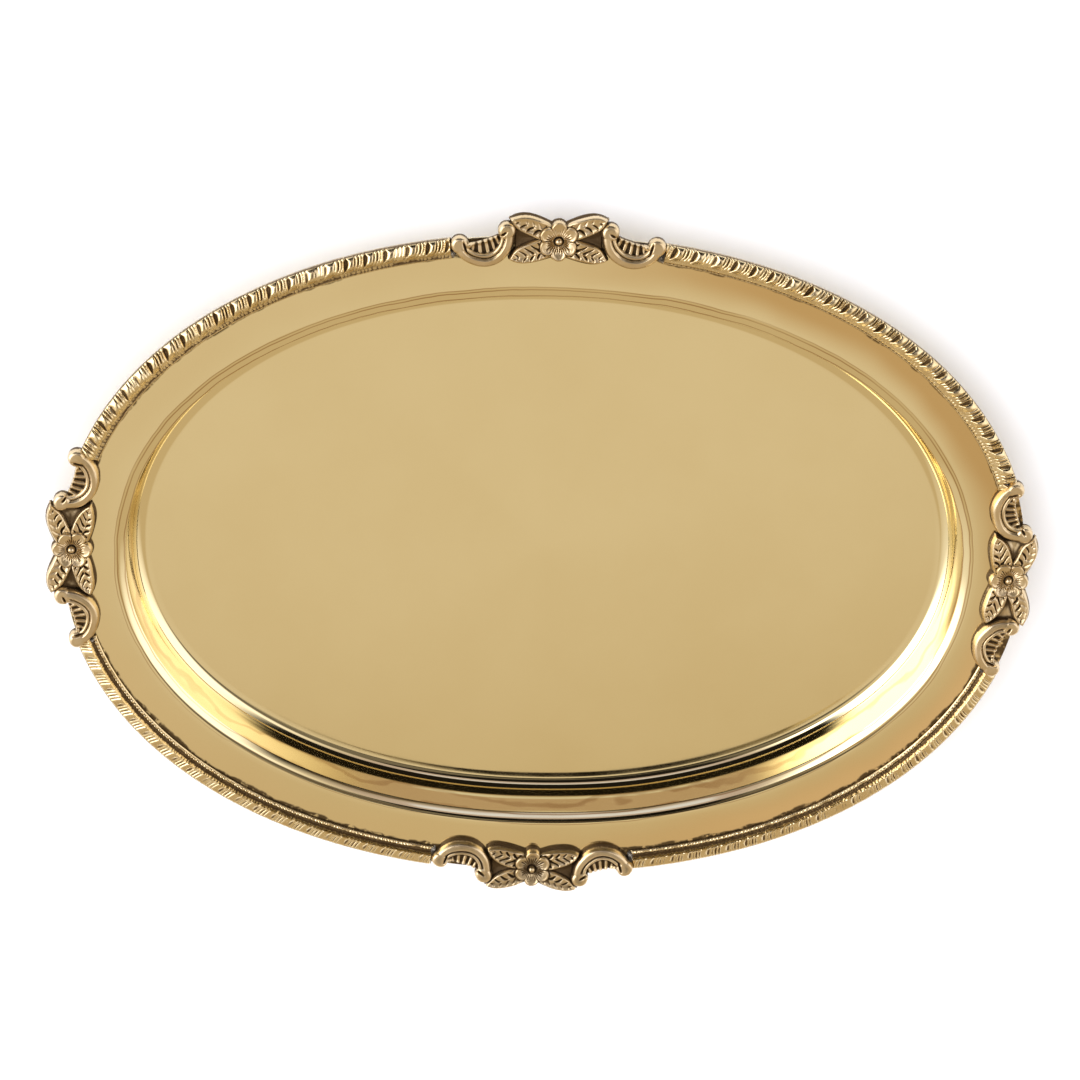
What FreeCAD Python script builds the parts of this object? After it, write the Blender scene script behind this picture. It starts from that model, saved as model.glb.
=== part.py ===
"""Oval brass serving tray: one pressed sheet with a well and a flat flange, a cast gadroon border in four
lengths, a cast flower-and-scroll ornament at each end of both axes, and the solder between the castings.

Frame: origin on the underside of the base, at the centre of the oval. +X runs along the length, +Y along
the width and +Z up. Lengths are in millimetres and angles in degrees."""

import FreeCAD
import Part
import Sketcher
import math
import os

from FreeCAD import Placement, Rotation, Vector

# alias, value, meaning
DRIVING = (
    ("half_length", 175.0, "border's outer edge on the X axis"),
    ("half_width", 123.0, "border's outer edge on the Y axis"),
    ("end_radius", 104.0, "radius of the oval's two end arcs"),
    ("sheet", 1.2, "thickness of the pressed sheet"),
    ("well_depth", 20.0, "from the flange's top to the base's top"),
    ("edge_inset", 0.9, "sheet's raw edge, inside the border's outer edge"),
    ("flange_inset", 20.3, "flange's inner edge, inside the border's outer edge"),
    ("step_run", 3.0, "width of the sloped step under the flange"),
    ("step_slope", 33.7, "slope of that step below the horizontal"),
    ("wall_draft", 5.0, "lean of the wall from the vertical"),
    ("cove_radius", 4.0, "inside radius between wall and base"),
    ("border_width", 7.3, "width of the gadroon border"),
    ("border_height", 3.2, "border's crest above the flange"),
    ("border_step", 0.8, "border's upright inner edge"),
    ("border_lip", 1.2, "how far the border's outer lip hangs below the flange's top"),
    ("joint_gap", 1.1, "solder joint between border and ornament"),
    ("solder_height", 1.9, "top of the solder above the flange"),
    ("solder_inset", 0.8, "solder's sides, inside the border's sides"),
    ("solder_reach", 2.6, "how far the solder runs in under the ornament's end"),
    ("ornament_span", 37.5, "flower's centre to the ornament's far end"),
    ("ornament_end_inset", 2.0, "ornament's far end, inside its flower's centre"),
    ("ground", 1.8, "thickness of the ornament's ground plate"),
    ("relief", 4.8, "crown of the scrolls above the flange"),
    ("leaf_relief", 3.8, "top of the leaves above the flange"),
    ("flower_relief", 5.2, "top of the petals above the flange"),
    ("petal_radius", 2.9, "radius of one petal"),
    ("petal_reach", 4.2, "petal's centre from the flower's centre"),
    ("eye_radius", 2.4, "radius of the hollow in the flower"),
    ("eye_depth", 1.6, "depth of that hollow"),
    ("bead_radius", 1.3, "radius of the bead in the flower"),
    ("scroll_u", 26.5, "centre of the C-scroll along the rim"),
    ("scroll_v", 1.5, "centre of the C-scroll, outward"),
    ("scroll_radius", 11.3, "outside radius of the C-scroll"),
    ("scroll_band", 5.2, "width of the C-scroll's band"),
    ("scroll_sweep", 170.0, "angle that the band turns through"),
    ("scroll_start", 202.5, "direction of the band's thin end from the scroll's centre"),
    ("big_volute_radius", 3.0, "radius of the volute beside the leaves"),
    ("big_volute_angle", 12.5, "direction of that volute from the scroll's centre"),
    ("small_volute_radius", 3.0, "radius of the volute beside the border"),
    ("leaf_tip_u", 16.9, "tips of the leaves, along the rim"),
    ("outer_leaf_tip_v", 7.7, "tip of the outer leaf, outward"),
    ("inner_leaf_tip_v", -6.8, "tip of the inner leaf, outward"),
    ("leaf_side_u", 5.8, "where a leaf's edge meets the flower's side, along the rim"),
    ("outer_leaf_side_v", 0.2, "the same point of the outer leaf, outward"),
    ("inner_leaf_side_v", -0.8, "the same point of the inner leaf, outward"),
    ("leaf_end_u", 3.3, "where a leaf's other edge meets the flower's end, along the rim"),
    ("leaf_end_v", 6.2, "the same point, outward or inward"),
    ("leaf_back", 10.3, "radius of the outer leaf's outer edge and the inner leaf's outer edge"),
    ("leaf_belly", 14.5, "radius of the other two edges"),
    ("ground_half", 16.5, "half length of the ground plate"),
    ("ground_outer", 5.8, "outer edge of the ground plate"),
    ("ground_inner", -7.6, "inner edge of the ground plate"),
    ("ground_waist", 5.6, "where the ground plate's scallops meet"),
    ("scallop_radius", 10.0, "radius of the ground plate's scallops"),
    ("web_radius", 34.0, "radius of the web's hollow outer edge"),
    ("back_inset", 1.9, "back flower's centre, inside the border's outer edge"),
    ("back_slide", -0.1, "back flower's centre, along +X"),
    ("back_turn", 0.6, "back ornament's turn"),
    ("front_inset", 2.4, "front flower's centre, inside the border's outer edge"),
    ("front_slide", -1.0, "front flower's centre, along +X"),
    ("front_turn", -1.7, "front ornament's turn"),
    ("left_inset", 4.5, "left flower's centre, inside the border's outer edge"),
    ("left_slide", 2.5, "left flower's centre, along +Y"),
    ("left_turn", -0.5, "left ornament's turn"),
    ("right_inset", 6.4, "right flower's centre, inside the border's outer edge"),
    ("right_slide", -1.7, "right flower's centre, along +Y"),
    ("right_turn", -2.7, "right ornament's turn"),
)

PETALS = 6
FULL_TURN = 360.0


class Size:
    """A number together with the spreadsheet expression that it comes from."""

    def __init__(self, number, text):
        self.number = number
        self.text = text

    def __add__(self, other):
        other = as_size(other)
        return Size(self.number + other.number, f"({self.text} + {other.text})")

    def __sub__(self, other):
        other = as_size(other)
        return Size(self.number - other.number, f"({self.text} - {other.text})")

    def __mul__(self, other):
        other = as_size(other)
        return Size(self.number * other.number, f"({self.text} * {other.text})")

    def __truediv__(self, other):
        other = as_size(other)
        return Size(self.number / other.number, f"({self.text} / {other.text})")

    def __neg__(self):
        return Size(-self.number, f"(-1 * {self.text})")


def as_size(value):
    return value if isinstance(value, Size) else Size(float(value), f"({float(value)})")


def sine(angle):
    return Size(math.sin(math.radians(angle.number)), f"sin({angle.text})")


def cosine(angle):
    return Size(math.cos(math.radians(angle.number)), f"cos({angle.text})")


def tangent(angle):
    return Size(math.tan(math.radians(angle.number)), f"tan({angle.text})")


def arctangent(rise, run):
    return Size(math.degrees(math.atan(rise.number / run.number)), f"(atan({rise.text} / {run.text}) / 1deg)")


def turned_by(length, radius):
    """The angle that an arc of this length and radius turns through."""
    return length / radius * math.degrees(1.0)


doc = FreeCAD.newDocument("brass_tray")
sheet = doc.addObject("Spreadsheet::Sheet", "Sizes")
for row, (alias, value, meaning) in enumerate(DRIVING, start=1):
    sheet.set(f"A{row}", meaning)
    sheet.set(f"B{row}", str(value))
    sheet.setAlias(f"B{row}", alias)
doc.recompute()


def size(alias):
    return Size(float(sheet.get(alias)), f"Sizes.{alias}")


half_length = size("half_length")
half_width = size("half_width")
end_radius = size("end_radius")
end_centre_x = half_length - end_radius
side_radius = (half_length * half_length - half_length * end_radius * 2.0 + half_width * half_width) / (
    (half_width - end_radius) * 2.0
)
side_centre_y = side_radius - half_width
join_angle = arctangent(side_centre_y, end_centre_x)
flange_top = size("sheet") + size("well_depth")


def bind(thing, name, value):
    """Binds one property, or part of one, to the spreadsheet."""
    thing.setExpression(name, value.text)


def new_body(name, x=None, y=None, z=None, turn=None):
    body = doc.addObject("PartDesign::Body", name)
    body.Label = name
    if z:
        body.Placement = Placement(Vector(x.number, y.number, z.number), Rotation(Vector(0, 0, 1), turn.number))
        bind(body, "Placement.Base.x", x)
        bind(body, "Placement.Base.y", y)
        bind(body, "Placement.Base.z", z)
        bind(body, "Placement.Rotation.Angle", turn)
    return body


def new_sketch(body, name, plane, x=None, y=None, turn=None):
    """A sketch on one of the body's origin planes. An upright one may stand at x, y and be turned about Z."""
    sketch = body.newObject("Sketcher::SketchObject", name)
    sketch.AttachmentSupport = [(feature, "") for feature in body.Origin.OriginFeatures if feature.Role == plane]
    sketch.MapMode = "FlatFace"
    if x:
        upright = Rotation(Vector(0, 1, 0), turn.number)
        sketch.AttachmentOffset = Placement(Vector(x.number, 0, -y.number), upright)
        bind(sketch, "AttachmentOffset.Base.x", x)
        bind(sketch, "AttachmentOffset.Base.z", -y)
        bind(sketch, "AttachmentOffset.Rotation.Angle", turn)
    return sketch


def hold(sketch, geometry, end, x, y):
    """Dimensions one end of a line or arc from the sketch's axes."""
    for kind, axis, value in (("DistanceX", -2, as_size(x)), ("DistanceY", -1, as_size(y))):
        if value.number == 0.0:
            sketch.addConstraint(Sketcher.Constraint("PointOnObject", geometry, end, axis))
            continue
        index = sketch.addConstraint(Sketcher.Constraint(kind, -1, 1, geometry, end, value.number))
        sketch.setExpression(f"Constraints[{index}]", value.text)


def hold_radius(sketch, geometry, radius):
    index = sketch.addConstraint(Sketcher.Constraint("Radius", geometry, radius.number))
    sketch.setExpression(f"Constraints[{index}]", radius.text)


def circle(sketch, x, y, radius):
    centre = Vector(as_size(x).number, as_size(y).number, 0)
    index = sketch.addGeometry(Part.Circle(centre, Vector(0, 0, 1), radius.number))
    hold(sketch, index, 3, x, y)
    hold_radius(sketch, index, radius)


def arc_between(start, end, radius, left):
    """The shorter arc from start to end. Its centre is on the left of that way, or on the right."""
    middle = (start + end) * 0.5
    chord = end - start
    across = Vector(-chord.y, chord.x, 0).normalize()
    reach = math.sqrt(radius**2 - (chord.Length / 2) ** 2)
    centre = middle + across * (reach if left else -reach)
    first, last = (start, end) if left else (end, start)
    angles = [math.atan2(point.y - centre.y, point.x - centre.x) for point in (first, last)]
    if angles[1] < angles[0]:
        angles[1] += 2 * math.pi
    return Part.ArcOfCircle(Part.Circle(centre, Vector(0, 0, 1), radius), *angles)


def outline(sketch, corners):
    """A closed outline. Each corner is x, y and, if an arc goes on from it, its radius and centre's side."""
    points = [Vector(as_size(c[0]).number, as_size(c[1]).number, 0) for c in corners]
    first_end = []
    last_end = []
    for number, corner in enumerate(corners):
        start = points[number]
        end = points[(number + 1) % len(points)]
        if len(corner) == 2:
            index = sketch.addGeometry(Part.LineSegment(start, end))
            ends = (1, 2)
        else:
            left = corner[3] == "left"
            index = sketch.addGeometry(arc_between(start, end, corner[2].number, left))
            ends = (1, 2) if left else (2, 1)
        first_end.append((index, ends[0]))
        last_end.append((index, ends[1]))
    for number in range(len(corners)):
        sketch.addConstraint(Sketcher.Constraint("Coincident", *last_end[number - 1], *first_end[number]))
    for number, corner in enumerate(corners):
        hold(sketch, *first_end[number], corner[0], corner[1])
        if len(corner) > 2:
            hold_radius(sketch, first_end[number][0], corner[2])


def pad(body, name, sketch, height):
    feature = body.newObject("PartDesign::Pad", name)
    feature.Profile = sketch
    bind(feature, "Length", height)
    return feature


def revolve(body, name, sketch, angle, axis="V_Axis", backwards=False):
    feature = body.newObject("PartDesign::Revolution", name)
    feature.Profile = sketch
    feature.ReferenceAxis = (sketch, [axis])
    feature.Reversed = backwards
    bind(feature, "Angle", as_size(angle))
    return feature


def oval(sketch, inset):
    """The four-centre oval, inset from the border's outer edge, as five arcs from its +X end."""
    end = end_radius - inset
    side = side_radius - inset
    join_x = end_centre_x + end * cosine(join_angle)
    join_y = end * sine(join_angle)
    outline(
        sketch,
        [
            (half_length - inset, 0.0, end, "left"),
            (join_x, join_y, side, "left"),
            (-join_x, join_y, end, "left"),
            (-join_x, -join_y, side, "left"),
            (join_x, -join_y, end, "left"),
        ],
    )


def make_tray_body():
    body = new_body("tray_body")
    thickness = size("sheet")
    draft = size("wall_draft")
    slope = size("step_slope")
    cove = size("cove_radius")
    outer_x = half_length - size("edge_inset")
    flange_x = half_length - size("flange_inset")
    step_x = flange_x - size("step_run")
    step_z = flange_top - size("step_run") * tangent(slope)
    cove_z = thickness + cove
    wall_z = cove_z - cove * sine(draft)
    wall_x = step_x - (step_z - wall_z) * tangent(draft)
    cove_x = wall_x - cove * cosine(draft)
    skin = cove + thickness

    base_outline = new_sketch(body, "base_outline", "XY_Plane")
    oval(base_outline, half_length - cove_x)
    pad(body, "base", base_outline, thickness)

    # The under side is parallel to the upper one. Where two flats meet, its corner lies on their bisector.
    under = thickness / (as_size(1.0) + sine(slope + draft))
    section = new_sketch(body, "wall_section", "XZ_Plane")
    outline(
        section,
        [
            (outer_x, flange_top),
            (flange_x, flange_top),
            (step_x, step_z),
            (wall_x, wall_z, cove, "right"),
            (cove_x, thickness),
            (cove_x, 0.0, skin, "left"),
            (cove_x + skin * cosine(draft), cove_z - skin * sine(draft)),
            (step_x + under * (sine(slope) + cosine(draft)), step_z - under * (cosine(slope) + sine(draft))),
            (flange_x + thickness * tangent(slope / 2.0), flange_top - thickness),
            (outer_x, flange_top - thickness),
        ],
    )
    wall = body.newObject("PartDesign::AdditivePipe", "wall_and_flange")
    wall.Profile = section
    wall.Spine = (base_outline, [f"Edge{number}" for number in range(1, 6)])
    wall.Mode = "Binormal"
    wall.Binormal = Vector(0, 0, 1)
    body.Tip = wall
    return body


def border_section(sketch, height, lip):
    """Half-round with an upright inner edge and an outer lip that hides the sheet's raw edge. The sketch's
    origin is the end arc's centre, at the base's height, and its x runs outward."""
    outer = end_radius
    inner = outer - size("border_width")
    raw_edge = outer - size("edge_inset")
    shoulder = flange_top + size("border_step")
    crest = height + flange_top
    middle = outer - size("border_width") / 2.0
    rise = height - size("border_step")
    half = size("border_width") / 2.0
    crown = (half * half + rise * rise) / (rise * 2.0)
    outline(
        sketch,
        [
            (inner, flange_top),
            (raw_edge, flange_top),
            (raw_edge, flange_top - lip),
            (outer, flange_top - lip),
            (outer, shoulder, crown, "left"),
            (middle, crest, crown, "left"),
            (inner, shoulder),
        ],
    )


def border_start(radius, at_end, x_side, y_side, seat):
    """How far round its arc, from the oval's axis, a border starts, clear of the ornament there. seat is the
    ornament's inset, slide and turn."""
    inset, slide, turn = seat
    span = size("ornament_span")
    out = span * sine(turn) * (x_side * y_side)
    along = span + size("joint_gap")
    if at_end:
        return arctangent(along + slide * y_side, radius - inset - size("ornament_end_inset") - out)
    return arctangent(along + slide * x_side, radius - inset - size("ornament_end_inset") + out)


def make_border(name, x_side, y_side, end_seat, side_seat):
    """One length of border, from the ornament at an end to the ornament at a side."""
    body = new_body(name)
    direction = join_angle * (x_side * y_side)
    if x_side < 0:
        direction = direction + 180.0
    sketch = new_sketch(body, name + "_section", "XZ_Plane", end_centre_x * x_side, as_size(0.0), direction)
    border_section(sketch, size("border_height"), size("border_lip"))
    axis_x = end_radius - side_radius
    axis = sketch.addGeometry(Part.LineSegment(Vector(axis_x.number, 0, 0), Vector(axis_x.number, 10, 0)), True)
    sketch.addConstraint(Sketcher.Constraint("Vertical", axis))
    hold(sketch, axis, 1, axis_x, 0.0)
    along_end = join_angle - border_start(end_radius, True, x_side, y_side, end_seat)
    along_side = as_size(90.0) - join_angle - border_start(side_radius, False, x_side, y_side, side_seat)
    towards_side = x_side * y_side < 0
    revolve(body, name + "_end", sketch, along_end, "V_Axis", not towards_side)
    revolve(body, name + "_side", sketch, along_side, "Axis0", towards_side)
    return body


def turned_boss(body, name, x, y, radius, height):
    """A round boss with a domed top, standing on the ornament's under side."""
    sketch = new_sketch(body, name + "_section", "XZ_Plane", x, y, as_size(0.0))
    shoulder = height * 0.6
    rise = height - shoulder
    dome = (radius * radius + rise * rise) / (rise * 2.0)
    outline(sketch, [(0.0, 0.0), (radius, 0.0), (radius, shoulder, dome, "left"), (0.0, height)])
    return revolve(body, name, sketch, FULL_TURN)


def leaf(body, name, side_v, end_v, tip_v, side_edge, end_edge):
    """A leaf from behind the flower to its tip. side_edge and end_edge are the radii of its two edges."""
    sketch = new_sketch(body, name + "_outline", "XY_Plane")
    side = (size("leaf_side_u"), side_v)
    end = (size("leaf_end_u"), end_v)
    tip = (size("leaf_tip_u"), tip_v)
    if end_v.number > 0:
        outline(sketch, [(*side, side_edge, "left"), (*tip, end_edge, "left"), end])
    else:
        outline(sketch, [(*end, end_edge, "left"), (*tip, side_edge, "left"), side])
    return pad(body, name, sketch, size("leaf_relief"))


def make_ornament(name, x, y, turn):
    """Local axes: u along the rim, v outward, from the flower's centre. One half is made and mirrored."""
    body = new_body(name, x, y, flange_top, turn)
    ground = size("ground")
    half = size("ground_half")
    outer = size("ground_outer")
    inner = size("ground_inner")
    waist = size("ground_waist")
    scallop = size("scallop_radius")

    ground_outline = new_sketch(body, name + "_ground_outline", "XY_Plane")
    outline(
        ground_outline,
        [
            (half, outer),
            (-half, outer),
            (-half, inner, scallop, "left"),
            (-waist, inner, scallop, "left"),
            (waist, inner, scallop, "left"),
            (half, inner),
        ],
    )
    pad(body, name + "_ground", ground_outline, ground)

    scroll_u = size("scroll_u")
    scroll_v = size("scroll_v")
    radius = size("scroll_radius")
    band = size("scroll_band")
    relief = size("relief")
    volute_reach = radius - band / 2.0
    start = size("scroll_start")
    finish = start + size("scroll_sweep")
    mirrored_start = as_size(180.0) - start
    small_u = scroll_u + volute_reach * cosine(mirrored_start)
    small_v = scroll_v + volute_reach * sine(mirrored_start)
    big_direction = as_size(180.0) - size("big_volute_angle")
    big_u = scroll_u + volute_reach * cosine(big_direction)
    big_v = scroll_v + volute_reach * sine(big_direction)

    web_outline = new_sketch(body, name + "_web_outline", "XY_Plane")
    web_reach = radius - 0.6
    outline(
        web_outline,
        [
            (scroll_u + web_reach * cosine(mirrored_start), scroll_v + web_reach * sine(mirrored_start),
             size("web_radius"), "left"),
            (scroll_u + web_reach * cosine(big_direction), scroll_v + web_reach * sine(big_direction),
             web_reach, "left"),
            (scroll_u, scroll_v - web_reach, web_reach, "left"),
        ],
    )
    web = pad(body, name + "_web", web_outline, ground)

    band_section = new_sketch(body, name + "_band_section", "XZ_Plane", scroll_u, scroll_v, as_size(180.0) - finish)
    shoulder = relief * 0.5
    crown_rise = relief - shoulder
    half_band = band / 2.0
    crown = (half_band * half_band + crown_rise * crown_rise) / (crown_rise * 2.0)
    outline(
        band_section,
        [
            (radius - band, 0.0),
            (radius, 0.0),
            (radius, shoulder, crown, "left"),
            (radius - half_band, relief, crown, "left"),
            (radius - band, shoulder),
        ],
    )
    scroll = revolve(body, name + "_scroll", band_section, size("scroll_sweep"))
    big = turned_boss(body, name + "_big_volute", big_u, big_v, size("big_volute_radius"), relief)
    small = turned_boss(body, name + "_small_volute", small_u, small_v, size("small_volute_radius"), relief)
    back = size("leaf_back")
    belly = size("leaf_belly")
    end_v = size("leaf_end_v")
    outer_leaf = leaf(
        body, name + "_outer_leaf", size("outer_leaf_side_v"), end_v, size("outer_leaf_tip_v"), belly, back
    )
    inner_leaf = leaf(
        body, name + "_inner_leaf", size("inner_leaf_side_v"), -end_v, size("inner_leaf_tip_v"), back, belly
    )

    mirror = body.newObject("PartDesign::Mirrored", name + "_other_half")
    mirror.Originals = [web, scroll, big, small, outer_leaf, inner_leaf]
    mirror.MirrorPlane = [(plane, "") for plane in body.Origin.OriginFeatures if plane.Role == "YZ_Plane"][0]
    body.Tip = mirror

    petal_outline = new_sketch(body, name + "_petal_outline", "XY_Plane")
    circle(petal_outline, 0.0, size("petal_reach"), size("petal_radius"))
    petal = pad(body, name + "_petal", petal_outline, size("flower_relief"))
    flower = body.newObject("PartDesign::PolarPattern", name + "_flower")
    flower.Originals = [petal]
    flower.Axis = (petal_outline, ["N_Axis"])
    flower.Angle = FULL_TURN
    flower.Occurrences = PETALS
    body.Tip = flower

    heart_outline = new_sketch(body, name + "_heart_outline", "XY_Plane")
    circle(heart_outline, 0.0, 0.0, size("eye_radius"))
    heart = pad(body, name + "_heart", heart_outline, size("flower_relief") - size("eye_depth"))
    body.Tip = heart
    bead = turned_boss(body, name + "_bead", as_size(0.0), as_size(0.0), size("bead_radius"), size("flower_relief"))
    body.Tip = bead
    return body


def cut_end_direction(x_side, y_side, at_end, from_axis):
    """The direction, from its arc's centre, of a border's cut end. from_axis is its angle from the oval's axis."""
    if at_end:
        axis = 0.0 if x_side > 0 else 180.0
        sense = x_side * y_side
    else:
        axis = 90.0 * y_side
        sense = -x_side * y_side
    return as_size(axis) + from_axis * sense


def make_solder(name, x_side, y_side, at_end, seat, ornament):
    """The solder in one joint: a low fillet from a border's cut end in against the ornament's scroll."""
    body = new_body(name)
    radius = end_radius if at_end else side_radius
    towards = cut_end_direction(x_side, y_side, at_end, border_start(radius, at_end, x_side, y_side, seat))
    centre_x = end_centre_x * x_side if at_end else as_size(0.0)
    centre_y = as_size(0.0) if at_end else side_centre_y * -y_side
    sketch = new_sketch(body, name + "_section", "XZ_Plane", centre_x, centre_y, towards)
    outer = radius - size("solder_inset")
    inner = radius - size("border_width") + size("solder_inset")
    shoulder = flange_top + size("solder_height") / 3.0
    rise = size("solder_height") * (2.0 / 3.0)
    half = (outer - inner) / 2.0
    crown = (half * half + rise * rise) / (rise * 2.0)
    outline(
        sketch,
        [(inner, flange_top), (outer, flange_top), (outer, shoulder, crown, "left"), (inner, shoulder)],
    )
    clockwise = (x_side * y_side > 0) == at_end
    revolve(body, name + "_run", sketch, turned_by(size("solder_reach"), radius), "V_Axis", clockwise)
    fitted = doc.addObject("Part::Cut", name + "_fitted")
    fitted.Base = body
    fitted.Tool = ornament
    return fitted


seats = {
    place: (size(place + "_inset"), size(place + "_slide"), size(place + "_turn"))
    for place in ("back", "front", "left", "right")
}


def seat_ornament(place):
    """Makes the ornament of one side or end at its seat on the oval."""
    inset, slide, turn = seats[place]
    x, y, facing = {
        "back": (slide, half_width - inset, 0.0),
        "front": (slide, inset - half_width, 180.0),
        "left": (inset - half_length, slide, 90.0),
        "right": (half_length - inset, slide, -90.0),
    }[place]
    return make_ornament("ornament_" + place, x, y, turn + facing)


ornaments = {place: seat_ornament(place) for place in seats}
pieces = [make_tray_body()]
solder = []
for y_side, side in ((1, "back"), (-1, "front")):
    for x_side, end in ((-1, "left"), (1, "right")):
        pieces.append(make_border(f"border_{side}_{end}", x_side, y_side, seats[end], seats[side]))
        joint = f"solder_{side}_{end}"
        solder.append(make_solder(joint + "_a", x_side, y_side, True, seats[end], ornaments[end]))
        solder.append(make_solder(joint + "_b", x_side, y_side, False, seats[side], ornaments[side]))
pieces.extend(ornaments.values())
solder_joints = doc.addObject("Part::Compound", "solder_joints")
solder_joints.Label = "solder_joints"
solder_joints.Links = solder
pieces.append(solder_joints)

doc.recompute()
failed = [thing.Name for thing in doc.Objects if "Invalid" in thing.State or "Error" in thing.State]
failed += [piece.Label for piece in pieces if piece.Shape.isNull() or not piece.Shape.isValid()]
if failed:
    raise RuntimeError("these did not build: " + ", ".join(failed))

os.makedirs("parts", exist_ok=True)
for piece in pieces:
    piece.Shape.exportStep(f"parts/{piece.Label}.step")
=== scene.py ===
"""Visual model of the oval brass serving tray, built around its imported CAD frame.

Shapes are worked out in millimetres and handed to Blender in metres. The rim is followed by its arc length,
counter-clockwise from +X, and by the inset from the border's outer edge."""

import math

import bmesh
import bpy
import numpy as np
from mathutils import Matrix, Vector


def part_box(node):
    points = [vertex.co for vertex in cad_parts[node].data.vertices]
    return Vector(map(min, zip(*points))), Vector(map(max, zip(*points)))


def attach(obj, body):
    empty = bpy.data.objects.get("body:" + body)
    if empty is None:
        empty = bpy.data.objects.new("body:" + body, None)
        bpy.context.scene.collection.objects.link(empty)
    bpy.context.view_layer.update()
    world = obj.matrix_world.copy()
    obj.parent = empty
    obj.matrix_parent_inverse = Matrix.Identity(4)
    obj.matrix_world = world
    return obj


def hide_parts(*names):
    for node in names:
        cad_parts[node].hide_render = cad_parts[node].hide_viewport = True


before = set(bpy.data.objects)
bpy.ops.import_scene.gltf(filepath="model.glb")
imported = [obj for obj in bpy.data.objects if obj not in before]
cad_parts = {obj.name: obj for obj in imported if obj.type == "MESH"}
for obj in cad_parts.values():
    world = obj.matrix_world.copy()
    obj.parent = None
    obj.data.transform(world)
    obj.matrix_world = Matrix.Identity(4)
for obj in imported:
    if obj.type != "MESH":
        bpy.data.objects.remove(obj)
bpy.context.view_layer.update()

MM = 0.001
SEED = 7

# Rim and sheet, in millimetres. These repeat the CAD part's driving dimensions.
SQUARENESS = 2.09
EDGE_INSET = 0.9
FLANGE_INSET = 20.3
STEP_RUN = 3.0
STEP_DROP = 2.0
WALL_DRAFT = math.radians(5.0)
SHEET = 1.2
BORDER_WIDTH = 7.3
BORDER_LIP = 1.2

# How the pressed sheet's corners are eased, and how its wall bends a little outwards near the flat.
FLANGE_RADIUS = 4.6
STEP_RADIUS = 0.35
WALL_RADIUS = 70.0
COVE_RADIUS = 5.0
FLANGE_EASE = 0.2
STEP_EASE = 0.15
BEND_HEIGHT = 8.0
FOOT_SPREAD = 0.4


def box_mm(node):
    low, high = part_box(node)
    return np.array(low) / MM, np.array(high) / MM


_, TRAY_HIGH = box_mm("tray_body")
HALF_LENGTH = TRAY_HIGH[0] + EDGE_INSET
HALF_WIDTH = TRAY_HIGH[1] + EDGE_INSET
FLANGE_TOP = TRAY_HIGH[2]


# Rim ----------------------------------------------------------------------------------------------


def superellipse(angle):
    c, s = np.cos(angle), np.sin(angle)
    power = 2.0 / SQUARENESS
    return HALF_LENGTH * np.sign(c) * np.abs(c) ** power, HALF_WIDTH * np.sign(s) * np.abs(s) ** power


RIM_ANGLE = np.linspace(0.0, 2.0 * math.pi, 40001)
RIM_X, RIM_Y = superellipse(RIM_ANGLE)
RIM_S = np.concatenate([[0.0], np.cumsum(np.hypot(np.diff(RIM_X), np.diff(RIM_Y)))])
PERIMETER = RIM_S[-1]


def rim_point(s):
    """x, y and the outward normal at arc length s."""
    s = np.mod(s, PERIMETER)
    x = np.interp(s, RIM_S, RIM_X)
    y = np.interp(s, RIM_S, RIM_Y)
    nx = np.sign(x) * np.abs(x / HALF_LENGTH) ** (SQUARENESS - 1.0) / HALF_LENGTH
    ny = np.sign(y) * np.abs(y / HALF_WIDTH) ** (SQUARENESS - 1.0) / HALF_WIDTH
    size = np.hypot(nx, ny)
    return x, y, nx / size, ny / size


def rim_s(x_side, y_side, x=None, y=None):
    """The arc length of the rim's point in one quarter with this |x| or this |y|."""
    in_quarter = (RIM_X * x_side >= 0) & (RIM_Y * y_side >= 0)
    distance = np.abs(np.abs(RIM_X) - x) if x is not None else np.abs(np.abs(RIM_Y) - y)
    return RIM_S[np.argmin(np.where(in_quarter, distance, np.inf))]


def smoothstep(low, high, value):
    t = np.clip((value - low) / (high - low), 0.0, 1.0)
    return t * t * (3.0 - 2.0 * t)


def bump_at(distance, width):
    return np.exp(-((distance / width) ** 2))


def waves(x, y, wavelength, seed, count=9):
    """Smooth noise of about -1 to 1: a few plane waves of nearly the same length in seeded directions."""
    rng = np.random.default_rng(SEED * 1000 + seed)
    total = 0.0
    for _ in range(count):
        direction = rng.uniform(0.0, 2.0 * math.pi)
        phase = rng.uniform(0.0, 2.0 * math.pi)
        k = 2.0 * math.pi / (wavelength * rng.uniform(0.7, 1.4))
        total = total + np.sin(k * (x * math.cos(direction) + y * math.sin(direction)) + phase)
    return total / math.sqrt(count)


# Meshes -------------------------------------------------------------------------------------------


def make_object(name, points, faces, attributes=None, sharp=math.radians(48)):
    """An object from points in millimetres and arrays of faces with 3, 4 or more corners each."""
    mesh = bpy.data.meshes.new(name)
    points = np.asarray(points, float) * MM
    loops = np.concatenate([np.asarray(group).ravel() for group in faces])
    sizes = np.concatenate([np.full(len(group), len(group[0])) for group in faces])
    starts = np.concatenate([[0], np.cumsum(sizes)[:-1]])
    mesh.vertices.add(len(points))
    mesh.vertices.foreach_set("co", points.ravel())
    mesh.loops.add(len(loops))
    mesh.loops.foreach_set("vertex_index", loops.astype(np.int32))
    mesh.polygons.add(len(sizes))
    mesh.polygons.foreach_set("loop_start", starts.astype(np.int32))
    mesh.polygons.foreach_set("loop_total", sizes.astype(np.int32))
    mesh.update(calc_edges=True)
    mesh.validate()
    for key, values in (attributes or {}).items():
        layer = mesh.attributes.new(key, "FLOAT", "POINT")
        layer.data.foreach_set("value", np.asarray(values, np.float32).ravel())
    mesh.shade_smooth()
    mesh.set_sharp_from_angle(angle=sharp)
    thing = bpy.data.objects.new(name, mesh)
    bpy.context.scene.collection.objects.link(thing)
    return thing


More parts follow.
